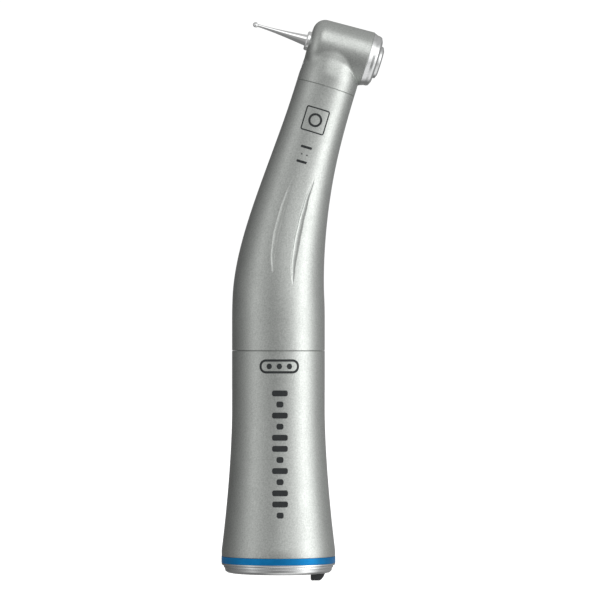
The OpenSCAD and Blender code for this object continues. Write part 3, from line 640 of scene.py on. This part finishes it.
def spring(name, node, place, body, low, height, mean_r, wire_r, turns):
    """A coil with closed ends."""
    steps, sides, closed = 40, 12, 0.85
    centres = []
    for i in range(turns * steps + 1):
        t = i / steps
        up = min(1.0, max(0.0, (t - closed) / (turns - 2 * closed)))
        in_ends = min(t / closed, 1) + max(0, (t - turns) / closed + 1)
        z = wire_r + up * (height - 6 * wire_r) + 2 * wire_r * in_ends
        turn = 2 * math.pi * t
        centres.append(Vector((mean_r * math.cos(turn), mean_r * math.sin(turn), low + z)))
    bm = bmesh.new()
    rings = []
    for i, centre in enumerate(centres):
        along = (centres[min(i + 1, len(centres) - 1)] - centres[max(i - 1, 0)]).normalized()
        out = Vector((centre.x, centre.y, 0)).normalized()
        across = along.cross(out).normalized()
        ring = []
        for k in range(sides):
            a = 2 * math.pi * k / sides
            ring.append(bm.verts.new(centre + wire_r * (math.cos(a) * out + math.sin(a) * across)))
        rings.append(ring)
    for ring, following in zip(rings, rings[1:]):
        for k in range(sides):
            bm.faces.new((ring[k], ring[(k + 1) % sides], following[(k + 1) % sides], following[k]))
    bm.faces.new(rings[0])
    bm.faces.new(list(reversed(rings[-1])))
    obj = finish_piece(new_object(bm, name), place, body, "spring_steel", 50.0)
    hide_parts(node)
    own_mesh(obj)


def springs():
    spring("button_coil", "button_spring", HEAD, "handpiece", low=5.93, height=1.56,
           mean_r=2.4, wire_r=0.1, turns=3)
    spring("dog_coil", "dog_spring", HANDLE, "drive", low=30.02, height=6.3,
           mean_r=2.78, wire_r=0.22, turns=6)


# ---- Plain marks in place of the lettering ----

# How far a mark stands out of the surface and reaches into it
MARK_LIFT = 0.006
MARK_SINK = -0.04
# The side of the handpiece that carries the marks
MARKED_SIDE = math.radians(-90)


def on_surface(x, z, out, radius_at):
    """The point x across and z along the marked side of a round surface, raised by out."""
    r = radius_at(z)
    a = MARKED_SIDE + x / r
    return ((r + out) * math.cos(a), (r + out) * math.sin(a), z)


def rounded_box(cx, cz, w, h, r):
    """Outline of a box w wide and h high round (cx, cz), with corners of radius r."""
    steps = 6
    points = []
    for sx, sz, start in ((1, 1, 0), (-1, 1, 90), (-1, -1, 180), (1, -1, 270)):
        for k in range(steps + 1):
            a = math.radians(start + 90 * k / steps)
            points.append((cx + sx * (w / 2 - r) + r * math.cos(a), cz + sz * (h / 2 - r) + r * math.sin(a)))
    return points


def span(points, x):
    """The lowest and highest place where a convex outline crosses x."""
    hits = []
    for (ax, az), (bx, bz) in zip(points, points[1:] + points[:1]):
        if (ax - x) * (bx - x) <= 0 and abs(ax - bx) > 1e-9:
            hits.append(az + (bz - az) * (x - ax) / (bx - ax))
    return min(hits), max(hits)


def solid_mark(bm, points, radius_at):
    """Fills a convex outline with narrow strips that follow the round surface."""
    low, high = min(x for x, z in points), max(x for x, z in points)
    n = max(1, int((high - low) / 0.12))
    made = []
    for i in range(n + 1):
        x = low + (high - low) * min(max(i / n, 0.002), 0.998)
        made.append([bm.verts.new(on_surface(x, z, out, radius_at))
                     for z in span(points, x) for out in (MARK_LIFT, MARK_SINK)])
    for p, q in zip(made, made[1:]):
        bm.faces.new((p[0], q[0], q[2], p[2]))
        bm.faces.new((p[1], p[3], q[3], q[1]))
        bm.faces.new((p[0], p[1], q[1], q[0]))
        bm.faces.new((p[2], q[2], q[3], p[3]))
    bm.faces.new([made[0][k] for k in (0, 2, 3, 1)])
    bm.faces.new([made[-1][k] for k in (0, 1, 3, 2)])


def frame_mark(bm, cx, cz, w, h, r, line, radius_at):
    """A rounded outline of a given line width, laid on a round surface."""
    outer = rounded_box(cx, cz, w, h, r)
    inner = rounded_box(cx, cz, w - 2 * line, h - 2 * line, max(r - line, 0.02))
    dense_out, dense_in = [], []
    for k in range(len(outer)):
        (ax, az), (bx, bz) = outer[k], outer[(k + 1) % len(outer)]
        (px, pz), (qx, qz) = inner[k], inner[(k + 1) % len(inner)]
        steps = max(1, int(math.hypot(ax - bx, az - bz) / 0.2))
        for f in (s / steps for s in range(steps)):
            dense_out.append((ax + (bx - ax) * f, az + (bz - az) * f))
            dense_in.append((px + (qx - px) * f, pz + (qz - pz) * f))
    loops = []
    for points, out in ((dense_out, MARK_LIFT), (dense_in, MARK_LIFT), (dense_in, MARK_SINK),
                        (dense_out, MARK_SINK)):
        loops.append([bm.verts.new(on_surface(x, z, out, radius_at)) for x, z in points])
    for loop, following in zip(loops, loops[1:] + loops[:1]):
        for i in range(len(loop)):
            k = (i + 1) % len(loop)
            bm.faces.new((loop[i], loop[k], following[k], following[i]))


def neck_radius(along):
    return grip_r(BEND_HEIGHT + along * math.cos(BEND))


def marks():
    # on the rear sleeve: an open capsule with three round studs, and a column of plain bars
    bm = bmesh.new()
    across, height = -0.2, 36.75
    frame_mark(bm, across, height, 7.2, 2.5, 1.2, 0.42, sleeve_r)
    for k in (-1, 0, 1):
        solid_mark(bm, rounded_box(across + 1.8 * k, height, 1.0, 1.0, 0.49), sleeve_r)
    across, height, step, width = -0.1, 32.0, 1.95, 2.8
    for share in (1.0, 0.45, 1.0, 0.45, 1.0, 1.0, 0.45, 1.0, 0.45, 1.0, 1.0, 0.45):
        solid_mark(bm, rounded_box(across, height, width * share, 1.05, 0.35), sleeve_r)
        height -= step
    obj = finish_piece(new_object(bm, "sleeve_marks"), HANDLE, "handpiece", "mark")
    # on the neck: an open square with a ring in it, and two bars with two dots between
    bm = bmesh.new()
    across, height = -0.3, 22.45
    frame_mark(bm, across, height, 4.4, 4.5, 0.4, 0.24, neck_radius)
    frame_mark(bm, across, height, 2.5, 2.5, 1.24, 0.40, neck_radius)
    for height in (17.4, 14.7):
        solid_mark(bm, rounded_box(-0.4, height, 2.05, 0.44, 0.12), neck_radius)
    for across in (-0.85, 0.1):
        solid_mark(bm, rounded_box(across, 16.05, 0.32, 0.32, 0.15), neck_radius)
    obj = finish_piece(new_object(bm, "neck_marks"), NECK, "handpiece", "mark")


# ---- Light, floor and camera ----

FLOOR_HEIGHT = -0.05
# Brightness of the studio round the object: angle from the camera's side (positive to the right), and level
STUDIO = (
    (-180, 0.30), (-150, 0.11), (-120, 0.20), (-100, 0.30), (-80, 0.56), (-62, 1.02), (-45, 0.66),
    (-28, 0.50), (-12, 0.36), (0, 0.44), (15, 0.56), (31, 0.84), (46, 1.65), (62, 2.80), (78, 1.75),
    (98, 0.60), (122, 0.42), (150, 0.34), (180, 0.30),
)
# A colour ramp holds levels up to 1, so the studio's are stored as shares of this one
PEAK = 3.0
# The studio runs softly into an even level above and below: where that starts and is whole, as the rise of
# the direction, and the level
SKY = (0.16, 0.95, 0.55)
GROUND = (0.0, -0.85, 0.22)
# Soft lights on top of it, one above the camera and one low down: direction, the cosines of the angles from
# it where the light starts and is whole, and brightness
SOFT_LIGHTS = (
    ((0.20, -0.74, 0.63), 0.84, 0.98, 1.05),
    ((0.36, -0.20, -0.91), 0.66, 0.97, 0.75),
)
# What the camera sees behind the object
BACKDROP = 1.05

CAMERA_DISTANCE = 0.758
CAMERA_HEIGHT = 0.043
CAMERA_YAW = math.radians(2.5)
CAMERA_LENS = 255.6
AIM = Vector((0.00384, 0.0, 0.0485))


def floor():
    """A pale floor: lit like any matt surface, and bright enough to meet the white ground without an edge."""
    mat, nodes, links, shader, coords = new_material("pale_floor")
    shade = noise(nodes, links, coords, 3.0, 2.0)
    links.new(ramp(nodes, links, shade, (0.90, 0.90, 0.90), (0.93, 0.93, 0.93)), shader.inputs["Base Color"])
    shader.inputs["Roughness"].default_value = 0.95
    shader.inputs["Specular IOR Level"].default_value = 0.0
    shader.inputs["Emission Color"].default_value = (1, 1, 1, 1)
    shader.inputs["Emission Strength"].default_value = 0.62
    mesh = bpy.data.meshes.new("floor")
    bm = bmesh.new()
    bmesh.ops.create_grid(bm, x_segments=2, y_segments=2, size=6.0)
    bm.to_mesh(mesh)
    bm.free()
    mesh.materials.append(mat)
    obj = bpy.data.objects.new("floor", mesh)
    obj.location = (0, 0, FLOOR_HEIGHT)
    obj.visible_glossy = False
    bpy.context.scene.collection.objects.link(obj)


def world():
    """An even white to the camera, and a studio of soft light to everything else."""
    scene = bpy.context.scene
    scene.world = bpy.data.worlds.new("studio")
    scene.world.use_nodes = True
    nodes, links = scene.world.node_tree.nodes, scene.world.node_tree.links
    coords = nodes.new("ShaderNodeTexCoord")
    split = nodes.new("ShaderNodeSeparateXYZ")
    links.new(coords.outputs["Generated"], split.inputs["Vector"])

    def maths(operation, a, b):
        node = nodes.new("ShaderNodeMath")
        node.operation = operation
        for socket, value in zip(node.inputs, (a, b)):
            if isinstance(value, (int, float)):
                socket.default_value = value
            else:
                links.new(value, socket)
        return node.outputs["Value"]

    def soft_step(value, start, end, top=1.0):
        """Rises from 0 to top as the value goes from start to end."""
        node = nodes.new("ShaderNodeMapRange")
        node.interpolation_type = "SMOOTHSTEP"
        node.inputs["From Min"].default_value = start
        node.inputs["From Max"].default_value = end
        node.inputs["To Max"].default_value = top
        links.new(value, node.inputs["Value"])
        return node.outputs["Result"]

    def mix(factor, a, b):
        node = nodes.new("ShaderNodeMix")
        links.new(factor, node.inputs["Factor"])
        links.new(a, node.inputs["A"])
        node.inputs["B"].default_value = b
        return node.outputs["Result"]

    turn = maths("ARCTAN2", split.outputs["X"], maths("MULTIPLY", split.outputs["Y"], -1.0))
    tex = nodes.new("ShaderNodeValToRGB")
    elements = tex.color_ramp.elements
    while len(elements) < len(STUDIO):
        elements.new(0.5)
    for element, (angle, level) in zip(elements, STUDIO):
        element.position = (angle + 180) / 360
        element.color = (level / PEAK, level / PEAK, level / PEAK, 1)
    links.new(maths("ADD", maths("DIVIDE", turn, 2 * math.pi), 0.5), tex.inputs["Fac"])
    level = maths("MULTIPLY", tex.outputs["Color"], PEAK)
    for start, end, even in (SKY, GROUND):
        level = mix(soft_step(split.outputs["Z"], start, end), level, even)
    for direction, start, whole, brightness in SOFT_LIGHTS:
        facing = nodes.new("ShaderNodeVectorMath")
        facing.operation = "DOT_PRODUCT"
        facing.inputs[1].default_value = Vector(direction).normalized()
        links.new(coords.outputs["Generated"], facing.inputs[0])
        level = maths("ADD", level, soft_step(facing.outputs["Value"], start, whole, brightness))
    path = nodes.new("ShaderNodeLightPath")
    links.new(mix(path.outputs["Is Camera Ray"], level, BACKDROP), nodes["Background"].inputs["Color"])
    scene.view_settings.view_transform = "Standard"


def camera():
    data = bpy.data.cameras.new("camera")
    data.sensor_width = 36.0
    data.lens = CAMERA_LENS
    data.clip_start = 0.05
    data.clip_end = 50.0
    obj = bpy.data.objects.new("camera", data)
    side = Vector((-math.sin(CAMERA_YAW), -math.cos(CAMERA_YAW), 0)) * CAMERA_DISTANCE
    obj.location = side + Vector((0.0, 0.0, CAMERA_HEIGHT))
    aim = Vector((AIM.x * math.cos(CAMERA_YAW), -AIM.x * math.sin(CAMERA_YAW), AIM.z))
    obj.rotation_euler = (aim - obj.location).to_track_quat("-Z", "Y").to_euler()
    bpy.context.scene.collection.objects.link(obj)
    bpy.context.scene.camera = obj


front_grip()
rear_sleeve()
colour_ring()
end_ring()
coupling_lug()
head_housing()
head_cap()
push_button()
nose_ring()
bur()
springs()
marks()

slots = {s["node"]: s["material_slot"] for s in frame["record"]["subparts"]}
for name, node in frame["nodes"].items():
    if not node.hide_render:
        node.data.materials.clear()
        node.data.materials.append(MATERIALS[slots[name]])

floor()
world()
camera()
